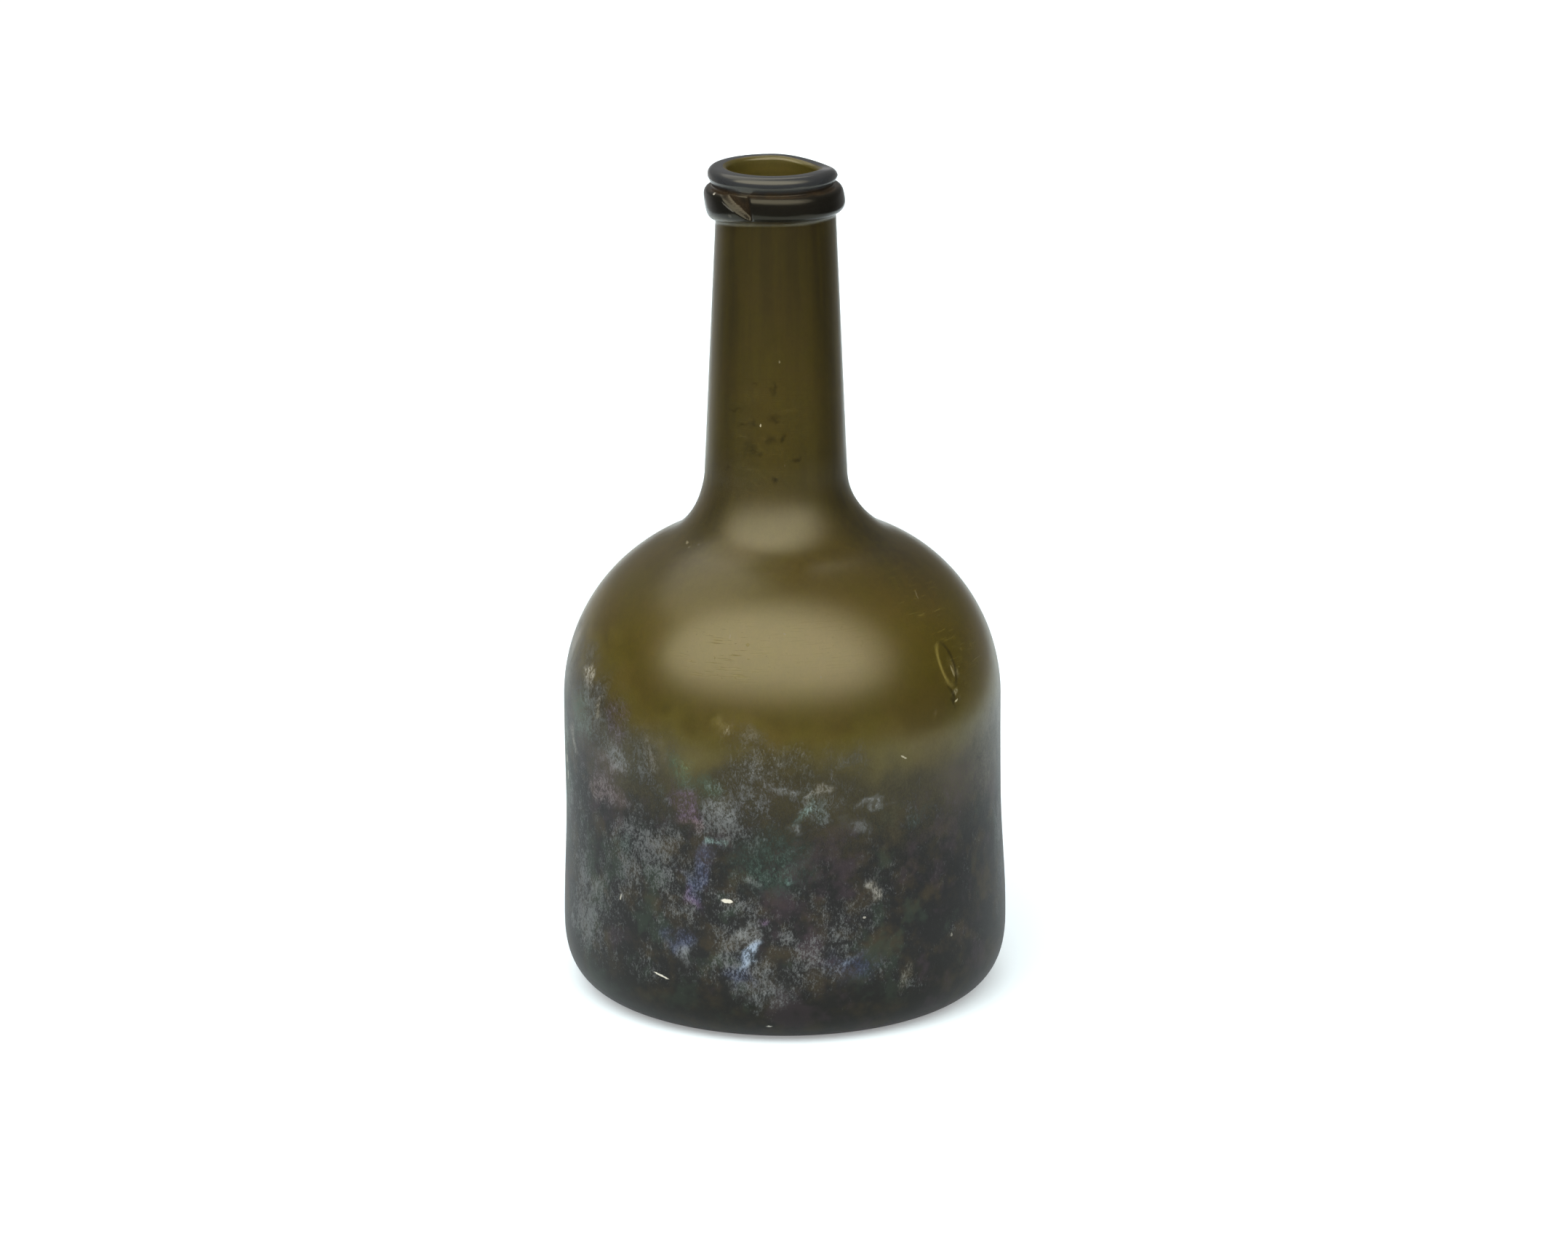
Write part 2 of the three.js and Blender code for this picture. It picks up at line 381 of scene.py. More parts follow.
def centre_line(height):
    shoulder_top = SIDE_HEIGHT + SHOULDER_RISE
    reach = NECK_FILLET / 2
    body = BODY_SHIFT * smoothstep(height, HEEL_HEIGHT, SIDE_HEIGHT)
    neck = (NECK_SHIFT - BODY_SHIFT) * smoothstep(height, shoulder_top - reach, shoulder_top + reach)
    return body + neck + LIP_SHIFT * smoothstep(height, RIM_BOTTOM, LIP_UNDERSIDE)


# Colours of the surface, as linear red, green and blue
OLIVE = (0.24, 0.192, 0.034)
WARM_OLIVE = (0.27, 0.185, 0.05)
DEEP_OLIVE = (0.05, 0.042, 0.024)
RIM_BLACK = (0.009, 0.0085, 0.007)
# The lip's top: its dark glass, greyed and blued by a painted reflection of the sky
LIP_GREY_REFLECTION = (0.03, 0.032, 0.036)
HAZE_OLIVE = (0.054, 0.045, 0.021)
BLACK = (0.0, 0.0, 0.0)
DARK_CRUST = (0.011, 0.0115, 0.0138)
BROWN_CRUST = (0.028, 0.023, 0.0165)
GREEN_CRUST = (0.024, 0.036, 0.028)
PURPLE_CRUST = (0.04, 0.028, 0.038)
SILVER = (0.2, 0.213, 0.222)
CHALK = (0.55, 0.53, 0.47)
EARTH = (0.05, 0.033, 0.018)
VIOLET = (0.13, 0.075, 0.15)
GREEN = (0.075, 0.13, 0.09)
TEAL = (0.22, 0.34, 0.33)
DEEP_TEAL = (0.03, 0.055, 0.046)
BLUE = (0.06, 0.075, 0.15)
PALE_BLUE = (0.3, 0.38, 0.5)
ROSE = (0.2, 0.14, 0.15)
TAN = (0.25, 0.22, 0.15)

# Where the burial crust begins, as azimuth and height, and how far it takes to thicken below that
CRUST_EDGE = (
    (-180, 62), (-140, 68), (-110, 84), (-80, 98), (-60, 91), (-40, 84), (-15, 81),
    (0, 80), (25, 77), (42, 75), (60, 80), (90, 86), (120, 78), (145, 68), (180, 62),
)
CRUST_FADE = 42
CRUST_LEAD = 6

# Iridescent stains and pale deposits, as azimuth, height, half-width, half-height, tilt, colour and strength.
# Half-widths of all the marks are in millimetres along the surface.
STAINS = (
    (-63, 87, 2.2, 2.8, 10, CHALK, 0.8), (-83, 91, 5, 5, 0, CHALK, 0.7), (-56, 81, 1.6, 4, 15, TAN, 1.2),
    (-66, 77, 7, 8, 20, GREEN, 0.8), (-84, 60, 10, 24, 0, GREEN, 0.7), (-48, 79, 4, 7, 0, VIOLET, 0.45),
    (-48, 70, 5, 4, -30, SILVER, 0.9), (-52, 66, 6, 4, 20, ROSE, 0.4), (-54, 60, 9, 4, 0, ROSE, 0.6),
    (-36, 74, 3, 6, -25, TAN, 0.4), (-28, 70, 3, 7, -40, GREEN, 0.8), (-18, 67, 5, 3.4, 0, GREEN, 0.8),
    (-26, 62, 3.4, 5.6, -25, VIOLET, 0.85), (-23, 57, 3, 2, 0, ROSE, 0.8), (-16, 62, 5, 3.6, 0, SILVER, 0.8),
    (5, 62, 1.8, 4.2, 42, TEAL, 1.1), (9, 62, 3, 2.6, 0, DEEP_TEAL, 1.0), (9, 66.5, 1.2, 4.6, 65, CHALK, 0.5),
    (1, 67, 2.4, 0.9, 0, SILVER, 0.9), (22, 62.5, 6, 1.3, 8, SILVER, 0.9), (3, 57, 2, 1.2, 20, SILVER, 0.9),
    (19, 57, 5, 2, 10, SILVER, 0.5), (-18, 53.5, 3, 1.3, 12, TEAL, 1.2), (-21, 49, 3, 5, 10, BLUE, 0.6),
    (-23, 42, 2.4, 6, 10, BLUE, 0.7), (-24, 38, 2, 2.4, 0, VIOLET, 0.7), (-3, 48, 11, 9, 0, DEEP_TEAL, 0.9),
    (0, 44, 2, 2, 0, TEAL, 0.5), (-9, 44, 2, 2, 0, SILVER, 0.8), (-29, 26, 4, 4, 30, BLUE, 0.55),
    (-27, 23.5, 2.5, 3, 0, SILVER, 0.6), (-8.5, 24.5, 1.5, 4.6, 42, PALE_BLUE, 1.5),
    (-8, 29, 2.4, 3, 20, SILVER, 0.9), (-11, 20, 5, 3, 30, BLUE, 0.6), (-4, 33, 1.5, 1.5, 0, VIOLET, 0.7),
    (17, 21, 7, 4, 0, BLUE, 0.4),
    (16, 23, 1.2, 1, 0, PALE_BLUE, 0.5), (33, 15.5, 2.6, 4, 35, TAN, 0.3), (-16, 82, 6, 2.4, -15, TAN, 0.3),
    (-14, 81.5, 2.2, 1.0, 0, CHALK, 0.45), (23, 40, 1.6, 1.6, 0, CHALK, 0.45),
    (-5, 15, 7, 4, 0, SILVER, 0.45), (84, 50, 12, 34, 0, SILVER, 0.35), (-90, 84, 8, 10, 0, SILVER, 0.6),
    (55, 91, 1.2, 3.0, 0, CHALK, 0.4), (52, 84, 1.2, 1.4, 0, CHALK, 0.8), (44, 82, 1.4, 1, 0, CHALK, 0.4),
    (52, 63, 8, 10, 0, ROSE, 0.25), (38, 57, 4, 3, 0, DEEP_TEAL, 0.6), (-72, 68, 3, 3, 0, CHALK, 0.5),
    (-44, 48, 5, 4, 0, DEEP_TEAL, 0.7), (150, 60, 14, 10, 0, GREEN, 0.7), (-150, 44, 12, 9, 30, BLUE, 0.6),
    (118, 34, 10, 6, 0, VIOLET, 0.5), (-120, 66, 8, 6, 30, TEAL, 0.7), (170, 30, 7, 5, 0, SILVER, 0.7),
    (-165, 70, 6, 4, 20, TAN, 0.7), (-104, 40, 10, 14, 0, GREEN, 0.6), (128, 66, 4, 6, 20, ROSE, 0.8),
)

# Grainy, silver-grey crust, as azimuth, height, half-width, half-height and strength
GRAINS = (
    (-66, 88, 9, 5, 0.8), (-14, 82, 7, 3, 0.7),
    (-50, 72, 18, 14, 0.8), (-54, 60, 16, 9, 0.8), (-46, 46, 16, 13, 0.7), (-70, 46, 16, 34, 0.7),
    (-27, 62, 12, 10, 0.7), (-16, 62, 8, 7, 0.75), (8, 63, 12, 7, 1.0), (22, 62, 14, 5, 0.65),
    (26, 40, 16, 11, 0.62), (6, 37, 14, 11, 0.6), (18, 33, 14, 11, 0.7), (-5, 15, 14, 10, 0.66),
    (-10, 28, 12, 10, 0.65), (33, 15, 7, 6, 0.75), (-30, 28, 16, 12, 0.6), (-18, 53, 7, 5, 0.8),
    (-22, 45, 9, 12, 0.7), (50, 50, 20, 26, 0.45), (80, 56, 18, 36, 0.6), (-84, 62, 16, 36, 0.8),
    (-15, 82, 12, 6, 0.6), (-110, 60, 24, 30, 0.7), (-150, 40, 30, 24, 0.65), (140, 50, 28, 24, 0.65),
    (180, 66, 24, 18, 0.6), (-66, 84, 10, 8, 0.7), (-2, 48, 16, 10, 0.55),
)

# Fine scratches and pits in the bare glass, as azimuth, height, half-width, half-height and strength
WEAR = (
    (-17, 99, 16, 7, 1.0), (8, 101, 24, 8, 0.25), (54, 106, 14, 9, 0.5), (60, 92, 16, 10, 0.5),
    (150, 100, 40, 12, 0.6), (-120, 104, 30, 12, 0.6), (-10, 146, 46, 20, 0.25),
)

# Pale flakes and scratches, as azimuth, height, half-width, half-height, tilt and strength
FLAKES = (
    (-14.5, 38.3, 1.7, 0.6, 3, 0.9), (-33, 16.6, 2.5, 0.3, 14, 0.8), (-4, 5.6, 1.4, 0.35, 0, 0.6),
    (-47, 34, 0.3, 1.0, 15, 0.5), (-80, 61, 0.5, 1.2, 0, 0.7), (-79, 57, 0.4, 1.6, 10, 0.6),
    (21, 33.5, 0.45, 0.3, 0, 0.4), (48, 24, 0.4, 0.5, 20, 0.25), (33, 73, 1.2, 0.22, 30, 0.4),
    (-12, 149, 0.35, 0.45, 0, 0.35), (4, 165, 0.25, 0.45, 0, 0.2), (8, 139, 0.25, 0.35, 0, 0.12),
    (-16, 103, 0.2, 0.6, 0, 0.15), (11, 94.5, 0.3, 0.35, 0, 0.15), (1, 104, 0.4, 0.22, 20, 0.15),
    (54, 108, 0.22, 1.3, 30, 0.14), (-62, 118, 0.8, 0.3, 10, 0.2), (-57, 117.4, 0.5, 0.25, -5, 0.14),
    (-52, 118.4, 0.5, 0.25, 0, 0.1), (-40.5, 203, 2.5, 0.25, 29, 0.14), (-40, 200.8, 0.6, 0.5, 0, 0.08),
    (-60, 205.3, 0.5, 0.35, 0, 0.5), (52.5, 83.5, 0.8, 0.3, -20, 0.35), (53.5, 90.5, 0.45, 1.8, -8, 0.2),
)

# Dark smudges and holes, as azimuth, height, half-width, half-height and tilt
SMUDGES = (
    (-17, 144, 2.6, 3.4, 0), (4, 152, 2.2, 2.0, 0), (0, 146.5, 2.4, 1.8, 0), (-7, 12.5, 2.6, 1.5, 0),
    (-26, 150, 3.4, 0.8, -12), (53, 86, 1.2, 4.2, -8), (-22, 144.5, 1.4, 2.2, 0), (-9, 143, 1.8, 1.3, 0),
    (-41, 138.5, 2.0, 1.4, 0), (4, 159.5, 1.0, 2.8, 0), (-34, 153.5, 4.0, 0.7, -12), (4, 136.5, 1.4, 1.6, 0),
    (23, 141.5, 1.6, 1.3, 0), (-14, 160.5, 1.1, 0.9, 0), (12, 147, 1.0, 2.2, 0), (-16, 150.5, 1.6, 1.6, 0),
)

# How far flakes and smudges reach through the surface, which they don't follow exactly
SPOT_DEPTH = 4

# The bruise on the right of the shoulder: a crescent between two ellipses
BRUISE = (51.6, 92.5, 3.0, 8.0, -4)
BRUISE_SHIFT = 1.0
CRESCENT = (0.26, 0.21, 0.07)

# The crust is thick and ragged all round but for the right side. It thins and thickens again in these ranges
# of azimuth, and between them its edge keeps this share of its raggedness.
THIN_FROM = (-5, 45)
THIN_TO = (100, 150)
EVEN_SHARE = 0.4

# Noises that make the marks uneven, as the size of their cells and an offset that sets them apart
BROAD = (17, (0, 0, 0))
MIDDLE = (6, (31, 5, 9))
SMALL = (2.6, (3, 17, 45))
ASIDE = (5, (77, 1, 20))
CREVICE = (2.2, (7, 7, 1))

# How far these noises move the crust's edge, and each mark in azimuth and height
EDGE_SHAKE = (8, 5, 2)
AZIMUTH_SHAKE = (2, 4)
HEIGHT_SHAKE = (2, 2)

# Grain of the crust: everywhere, and more of it away from the right side, from these heights up
GRAIN_EVERYWHERE = 0.3
GRAIN_AWAY = 0.38
GRAIN_SHAKE = (0.9, 0.6)
GRAIN_SPAN = (6, 20)

# Depth of the glass's colour at the neck's root, up the neck and at the string rim, and where each comes in
ROOT_DEPTH = 0.42
ROOT_SPAN = (100, 119)
NECK_DEPTH = 0.38
NECK_SPAN = (150, 196)
RIM_DEPTH = 0.2
RIM_SPAN = (RIM_BOTTOM - 1.5, RIM_BOTTOM + 1)

# Painted shade: darker streaks that run up the sides of the neck, as azimuth, spread in degrees and share
NECK_SHADE_STREAKS = ((-54, 24, 0.3), (66, 34, 0.4), (150, 40, 0.2))
NECK_DEEPEST = 0.8

# Earth in the crevices: how far it is from the string rim's edges, how far it spreads, and how much there is
CREVICE_GAP = 0.3
CREVICE_CORE = 0.1
ABOVE_REACH = 1.0
BELOW_REACH = 1.1
ABOVE_EARTH = 0.8
BELOW_EARTH = 0.2
BELOW_FRONT_EARTH = 0.6
LAP_EARTH = 0.5
EARTH_FRONT = (-15, 100)
EARTH_FILL = 1.6

# A patch is whole within the first of these shares of its size, and gone beyond the second
PATCH_FADE = (0.25, 1.25)

# The most that the strengths of overlapping stains come to
STRONGEST_TINT = 2

# How far the profile that is searched for a radius reaches down past the top of the side
PROFILE_OVERLAP = 2

# The marks of the inside, which has none
BARE = {"burial": 0, "grain": 0, "wear": 0, "grime": 0, "depth_and_shade": 0, "tint": (0, 0, 0, 0)}


def radius_at(height):
    """The outside radius of the side, shoulder or neck at a height."""
    if height <= SIDE_HEIGHT:
        return side_radius(height)
    profile = [point for point in outside(0) if point[1] > SIDE_HEIGHT - PROFILE_OVERLAP]
    for (near, low), (far, high) in zip(profile, profile[1:]):
        if low <= height <= high:
            return lerp(near, far, (height - low) / (high - low))
    return neck_radius(height)


def crust_edge(azimuth):
    for (low, start), (high, end) in zip(CRUST_EDGE, CRUST_EDGE[1:]):
        if turned(azimuth) <= high:
            return lerp(start, end, smoothstep(turned(azimuth), low, high))
    return CRUST_EDGE[-1][1]


def patch(azimuth, height, centre, level, half_width, half_height, tilt=0):
    """1 in the middle of a patch of the surface, falling smoothly to 0 at its rim.

    A tilt leans its top to the right.
    """
    across = math.radians(turned(azimuth - centre)) * BODY_RADIUS
    up = height - level
    lean = math.radians(tilt)
    along_it = across * math.cos(lean) - up * math.sin(lean)
    up_it = across * math.sin(lean) + up * math.cos(lean)
    return 1 - smoothstep(math.hypot(along_it / half_width, up_it / half_height), *PATCH_FADE)


def strongest(patches, azimuth, height):
    found = 0
    for centre, level, half_width, half_height, strength in patches:
        if abs(height - level) < 2 * half_height:
            near = patch(azimuth, height, centre, level, half_width, half_height)
            found = max(found, strength * near)
    return found


def wave(place, cell, offset):
    """A smooth noise between about -1 and 1, in cells of a given size."""
    return noise.noise(place / cell + Vector(offset))


def shake(reaches, waves):
    return sum(reach * given for reach, given in zip(reaches, waves))


def crusted_side(azimuth):
    """1 where the crust is thick and ragged, and 0 on the bottle's right."""
    return 1 - smoothstep(turned(azimuth), *THIN_FROM) * (1 - smoothstep(turned(azimuth), *THIN_TO))


def surface_marks(place, azimuth, height):
    """The crust, grain, wear, grime, depth of colour with its painted shade, and stain at a point of the
    outside.
    """
    broad, middle, small, aside = (wave(place, *kind) for kind in (BROAD, MIDDLE, SMALL, ASIDE))
    crusted = crusted_side(azimuth)
    ragged = lerp(EVEN_SHARE, 1, crusted) * shake(EDGE_SHAKE, (broad, middle, small))
    depth = crust_edge(azimuth) + ragged + CRUST_LEAD - height
    burial = 1 if height < REST_HEIGHT else min(max(depth / CRUST_FADE, 0), 1)
    moved = azimuth + shake(AZIMUTH_SHAKE, (broad, aside))
    lifted = height + shake(HEIGHT_SHAKE, (middle, small))
    grain = (GRAIN_EVERYWHERE + GRAIN_AWAY * crusted) * (1 + shake(GRAIN_SHAKE, (broad, middle)))
    grain = max(grain * smoothstep(height, *GRAIN_SPAN), strongest(GRAINS, moved, lifted))
    return {
        "burial": burial,
        "grain": grain,
        "wear": strongest(WEAR, azimuth, height),
        "grime": crevice_grime(azimuth, height, place),
        "depth_and_shade": depth_and_painted_shade(azimuth, height),
        "tint": stain(moved, lifted, height),
    }


def stain(azimuth, height, true_height):
    """The mean colour of the stains at a shaken place, and how strong they are there together.

    The true height tells which of them are near enough.
    """
    colour = Vector((0, 0, 0))
    total = 0
    for centre, level, half_width, half_height, tilt, hue, strength in STAINS:
        if abs(true_height - level) < 2 * max(half_width, half_height):
            near = patch(azimuth, height, centre, level, half_width, half_height, tilt)
            colour += Vector(hue) * near * strength
            total += near * strength
    if total > 0:
        colour /= total
    return (*colour, min(total, STRONGEST_TINT))


def depth_and_painted_shade(azimuth, height):
    """How dark the glass is made: darker from where the neck starts up towards the lip, with painted shade in
    streaks down the sides of the neck.
    """
    root = smoothstep(height, *ROOT_SPAN)
    neck = smoothstep(height, *NECK_SPAN)
    rim = smoothstep(height, *RIM_SPAN)
    streaks = sum(share * azimuth_bump(azimuth, centre, spread) for centre, spread, share in NECK_SHADE_STREAKS)
    return min(ROOT_DEPTH * root + NECK_DEPTH * neck + streaks * root, NECK_DEEPEST) + RIM_DEPTH * rim


def crevice_grime(azimuth, height, place):
    """Earth left above and below the string rim and in its lap."""
    bottom, top = rim_edges(azimuth)
    above = 1 - smoothstep(abs(height - top - CREVICE_GAP), CREVICE_CORE, ABOVE_REACH)
    below = 1 - smoothstep(abs(height - bottom + CREVICE_GAP), CREVICE_CORE, BELOW_REACH)
    up = min(max((height - bottom) / (top - bottom), 0), 1)
    lap = (1 - lap_share(azimuth, up)) / LAP_NOTCH_SHARE if bottom < height < top else 0
    front = azimuth_bump(azimuth, *EARTH_FRONT)
    fill = min(EARTH_FILL * (1 + wave(place, *CREVICE)) / 2, 1)
    earth = (ABOVE_EARTH * above, (BELOW_EARTH + BELOW_FRONT_EARTH * front) * below, LAP_EARTH * lap)
    return max(earth) * fill


def add_marks(mesh, marks):
    """Add each kind of mark to the mesh, as an attribute of its points."""
    for name, values in marks.items():
        if name == "tint":
            layer = mesh.attributes.new(name, "FLOAT_COLOR", "POINT")
            layer.data.foreach_set("color", np.array(values, np.float32).ravel())
        else:
            layer = mesh.attributes.new(name, "FLOAT", "POINT")
            layer.data.foreach_set("value", np.array(values, np.float32))


def make_bottle():
    inner = inside()
    columns = []
    for i in range(SEGMENTS):
        azimuth = 360 * i / SEGMENTS
        columns.append(outside(azimuth) + lip(azimuth) + inner)
    rows = len(columns[0])
    outer_rows = rows - len(inner) - EDGE_STEPS
    vertices = []
    marks = {name: [] for name in BARE}

    def add(radius, azimuth, row, height):
        angle = math.radians(azimuth)
        x = radius * math.sin(angle) + centre_line(height)
        place = Vector((x, -radius * math.cos(angle), height))
        vertices.append(place * MM)
        found = surface_marks(place, azimuth, height) if row < outer_rows else BARE
        for name, value in found.items():
            marks[name].append(value)

    for i, column in enumerate(columns):
        for row, (radius, height) in enumerate(column[1:-1], 1):
            add(radius, 360 * i / SEGMENTS, row, height)
    ring = rows - 2
    faces = []
    for i in range(SEGMENTS):
        here, there = i * ring, (i + 1) % SEGMENTS * ring
        faces += [(here + k, there + k, there + k + 1, here + k + 1) for k in range(ring - 1)]
    for row, edge in ((0, 0), (rows - 1, ring - 1)):
        pole = len(vertices)
        add(0, 0, row, columns[0][row][1])
        for i in range(SEGMENTS):
            here, there = i * ring + edge, (i + 1) % SEGMENTS * ring + edge
            faces.append((here, there, pole) if edge else (there, here, pole))
    mesh = bpy.data.meshes.new("bottle_glass")
    mesh.from_pydata(vertices, [], faces)
    mesh.update()
    mesh.shade_smooth()
    add_marks(mesh, marks)
    piece = bpy.data.objects.new("bottle_glass", mesh)
    bpy.context.scene.collection.objects.link(piece)
    return piece


def camera():
    made = bpy.data.objects.new("camera", bpy.data.cameras.new("camera"))
    made.data.sensor_width = SENSOR_WIDTH
    made.data.sensor_fit = "HORIZONTAL"
    made.data.lens = LENS
    elevation = math.radians(CAMERA_ELEVATION)
    back = Vector((0, -math.cos(elevation), math.sin(elevation)))
    made.location = LOOK_AT + back * CAMERA_DISTANCE
    made.rotation_euler = (-back).to_track_quat("-Z", "Y").to_euler()
    bpy.context.scene.collection.objects.link(made)
    bpy.context.scene.camera = made


class Nodes:
    """Short ways to add the nodes of one material."""

    def __init__(self, tree):
        self.tree = tree

    def put(self, socket, value):
        if isinstance(value, bpy.types.NodeSocket):
            self.tree.links.new(value, socket)
        elif isinstance(value, tuple) and len(value) == 3 and socket.type == "RGBA":
            socket.default_value = (*value, 1)
        else:
            socket.default_value = value

    def math(self, operation, a, b=0.0, clamp=False):
        node = self.tree.nodes.new("ShaderNodeMath")
        node.operation = operation
        node.use_clamp = clamp
        self.put(node.inputs[0], a)
        self.put(node.inputs[1], b)
        return node.outputs[0]

    def times(self, a, b):
        return self.math("MULTIPLY", a, b)

    def without(self, a, b):
        """What is left of one mask outside another."""
        return self.times(a, self.math("SUBTRACT", 1.0, b))

    def most(self, *values):
        found = values[0]
        for value in values[1:]:
            found = self.math("MAXIMUM", found, value)
        return found

    def step(self, value, low, high, start=0.0, end=1.0):
        node = self.tree.nodes.new("ShaderNodeMapRange")
        node.interpolation_type = "SMOOTHSTEP"
        self.put(node.inputs["Value"], value)
        self.put(node.inputs["From Min"], low)
        self.put(node.inputs["From Max"], high)
        self.put(node.inputs["To Min"], start)
        self.put(node.inputs["To Max"], end)
        return node.outputs[0]

    def mix(self, share, a, b):
        node = self.tree.nodes.new("ShaderNodeMix")
        node.data_type = "RGBA"
        self.put(node.inputs["Factor"], share)
        self.put(node.inputs[6], a)
        self.put(node.inputs[7], b)
        return node.outputs[2]

    def noise(self, vector, kind):
        node = self.tree.nodes.new("ShaderNodeTexNoise")
        self.put(node.inputs["Vector"], vector)
        for name, given in zip(("Scale", "Detail", "Roughness", "Distortion"), kind):
            node.inputs[name].default_value = given
        return node.outputs["Fac"]

    def stretch(self, vector, scale, rotation=(0.0, 0.0, 0.0)):
        node = self.tree.nodes.new("ShaderNodeMapping")
        self.put(node.inputs["Vector"], vector)
        node.inputs["Rotation"].default_value = rotation
        node.inputs["Scale"].default_value = scale
        return node.outputs[0]

    def shaken(self, vector, scale, reach):
        """A vector moved about by a noise, which makes the edges of what is drawn with it uneven."""
        grain = self.tree.nodes.new("ShaderNodeTexNoise")
        self.put(grain.inputs["Vector"], vector)
        grain.inputs["Scale"].default_value = scale
        moved = self.tree.nodes.new("ShaderNodeVectorMath")
        moved.operation = "MULTIPLY_ADD"
        self.put(moved.inputs[0], grain.outputs["Color"])
        moved.inputs[1].default_value = (reach, reach, reach)
        self.put(moved.inputs[2], vector)
        return moved.outputs[0]

    def spot(self, vector, azimuth, height, half_width, half_height, tilt, core=0.7):
        """1 in the core of an ellipse on the outside and 0 beyond it. A tilt lowers its right-hand end."""
        angle = math.radians(azimuth)
        radius = radius_at(height)
        centre = Vector((radius * math.sin(angle) + centre_line(height), -radius * math.cos(angle), height))
        node = self.tree.nodes.new("ShaderNodeMapping")
        node.vector_type = "TEXTURE"
        self.put(node.inputs["Vector"], vector)
        node.inputs["Location"].default_value = centre * MM
        node.inputs["Rotation"].default_value = (0, math.radians(tilt), angle)
        node.inputs["Scale"].default_value = Vector((half_width, SPOT_DEPTH, half_height)) * MM
        length = self.tree.nodes.new("ShaderNodeVectorMath")
        length.operation = "LENGTH"
        self.put(length.inputs[0], node.outputs[0])
        return self.step(length.outputs["Value"], core, 1.0, 1.0, 0.0)

    def attribute(self, name):
        node = self.tree.nodes.new("ShaderNodeAttribute")
        node.attribute_name = name
        return node


# The clear glass, and how rough it is: rougher in crust and where the neck starts, polished at the rim
CLEAR_SHARE = 0.84
REFRACTIVE_INDEX = 1.5
ABSORBED = (0.62, 0.54, 0.2)
ABSORPTION = 130
GLASS_ROUGHNESS = 0.27
CRUST_ROUGHNESS = 0.45
DRAG_ROUGHNESS = 0.06
ROOT_ROUGHNESS = 0.12
ROOT_BEGINS = (118 * MM, 124 * MM)
ROOT_ENDS = (132 * MM, 142 * MM)
RIM_POLISH = 0.25
GLASS_SHEEN = 0.5
CRUST_SHEEN = 0.15
LIP_SHEEN = 0.15
SHEEN_BAND = (0.0, 0.5)
WARM_SHEEN = (1, 0.93, 0.7)

# Noises of the material, as scale, detail, roughness and distortion, and the stretches of some of them
CLOUD = (130, 4, 0.6, 0.0)
HUE = (60, 4, 0.7, 0.0)
MOTTLE = (480, 5, 0.65, 0.8)
GRIT = (2200, 4, 0.8, 0.3)
DRAG = (700, 4, 0.7, 0.0)
HAIR = (1300, 2, 0.5, 0.0)
PIT = (620, 2, 0.5, 0.0)
STREAK = (330, 3, 0.6, 0.0)
MOTTLE_SHARE = 0.4
GRIT_SHARE = 0.6
BRUSHED = (1.0, 0.8, 0.6)
BRUSHED_TURN = (0.0, 0.6, 0.0)
DRAGGED = (0.35, 0.35, 1.6)
HAIR_STRETCH = (0.12, 0.12, 2.2)
STREAK_STRETCH = (1.0, 1.0, 0.05)

# Bands of a noise or an attribute in which each mask goes from 0 to 1, or between the shares given after it
BROWN_BAND = (0.45, 0.7)
PURPLE_BAND = (0.52, 0.66, 0.0, 0.5)
GREEN_BAND = (0.46, 0.34, 0.0, 0.5)
# Painted shade: the crust darkens towards black from here down to the heel
HEEL_SHADE_BAND = (4 * MM, 26 * MM, 0.55, 0.0)
GRAIN_BAND = (0.0, 0.17)
BURIED_BAND = (0.05, 0.4)
GRAIN_SHARE_BAND = (0.1, 0.9, 0.1, 0.4)
STAIN_BAND = (0.42, 0.57, 0.12, 1.0)
HAIR_BAND = (0.6, 0.67)
PIT_BAND = (0.66, 0.71)
STREAK_BAND = (0.35, 0.65, 0.78, 1.0)
WARM_BAND = (0.4, 0.62, 0.0, 0.4)
CLOUDED_BAND = (0.4, 0.62, 0.0, 0.16)
RIM_BAND = (0.84, 1.0)
LIP_BAND = (205.4 * MM, 206.8 * MM)
HAZE_BAND = (0.0, 0.42)
CRUST_BAND = (0.2, 0.85)
EARTH_BAND = (0.3, 0.6, 0.5, 1.0)
FLAKE_BAND = (0.0, 0.5)

# How ragged the crust's edge is, and where its grains begin, which a stronger grain lowers
RAGGED_MIDDLE = 0.5
RAGGED_REACH = 2.2
RAGGED_THIN = 2.0
GRAIN_LEVEL = 0.62
GRAIN_GROWTH = 0.2

# Shares of each mark in the colour, in what hides the clear glass, and in the relief
MARK_SHARE, MARK_COVER, MARK_RELIEF = 0.55, 0.5, 0.5
STAIN_SHARE, STAIN_COVER = 0.75, 0.9
CRESCENT_SHARE, CRESCENT_COVER = 0.5, 0.4
GRAIN_COVER, GRAIN_RELIEF = 0.8, 0.6
SMUDGE_SHARE = 0.75
BEHIND_SHARE = 0.6
RIM_COVER = 0.75
GRIT_RELIEF = 0.5
BUMP_STRENGTH = 0.35
BUMP_DEPTH = 0.1 * MM

# Noises that shake the edges of flakes and smudges, as scale and reach
FLAKE_SHAKE = (1400, 0.5 * MM)
SMUDGE_SHAKE = (420, 3.0 * MM)


def shared_noises(n, place):
    brushed = n.stretch(place, BRUSHED, BRUSHED_TURN)
    mottle = n.noise(brushed, MOTTLE)
    grit = n.noise(brushed, GRIT)
    return SimpleNamespace(
        cloud=n.noise(place, CLOUD),
        hue=n.noise(place, HUE),
        grit=grit,
        drag=n.noise(n.stretch(place, DRAGGED), DRAG),
        fine=n.math("ADD", n.times(mottle, MOTTLE_SHARE), n.times(grit, GRIT_SHARE)),
    )


